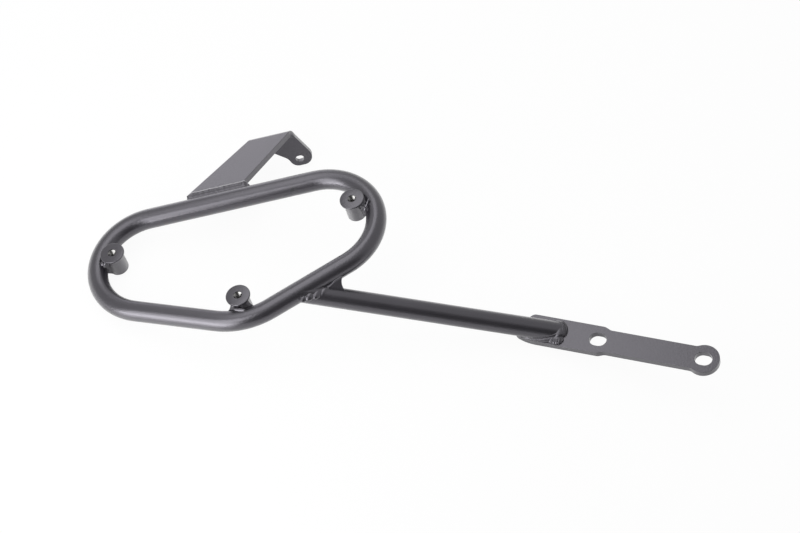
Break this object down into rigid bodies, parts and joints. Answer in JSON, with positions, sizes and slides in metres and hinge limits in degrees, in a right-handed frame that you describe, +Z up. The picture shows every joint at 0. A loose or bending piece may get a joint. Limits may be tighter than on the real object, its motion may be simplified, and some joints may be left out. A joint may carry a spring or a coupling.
{
  "type": "pannier frame",
  "caption": "Welded tube loop with flanged threaded bosses, a folded bracket and a slotted strut plate, bolted to a motorbike's side to carry a pannier.",
  "frame": {"origin": "centre of the bounding box's base, on the bench that the frame rests on", "axes": "+X along the loop's top straight as it lies, towards the strut's side, +Y from the loop's lower bend towards its bracket, +Z up from the bench; the loop lies tilted, resting on its left bend, the bracket's ear and the heel of the strut's plate"},
  "size_m": [0.4734, 0.2716, 0.075],
  "materials": {
    "tube_coat": "satin black powder coat on steel tube",
    "plate_coat": "satin black powder coat on flat steel plate",
    "boss_coat": "satin black powder coat on turned steel",
    "weld_coat": "satin black powder coat over rippled weld beads",
    "thread_steel": "bright cut thread in the bosses, kept clear of the coat"
  },
  "bodies": {
    "root": {"loop_tube": "tube_coat", "stay_tube": "tube_coat", "boss_left": "boss_coat", "boss_right": "boss_coat", "boss_lower": "boss_coat", "stay_plate": "plate_coat", "upper_bracket": "plate_coat", "weld_boss_left": "weld_coat", "weld_boss_right": "weld_coat", "weld_boss_lower": "weld_coat", "weld_bracket_front": "weld_coat", "weld_bracket_back": "weld_coat", "weld_stay_loop": "weld_coat", "weld_stay_plate": "weld_coat"}
  },
  "joints": []
}
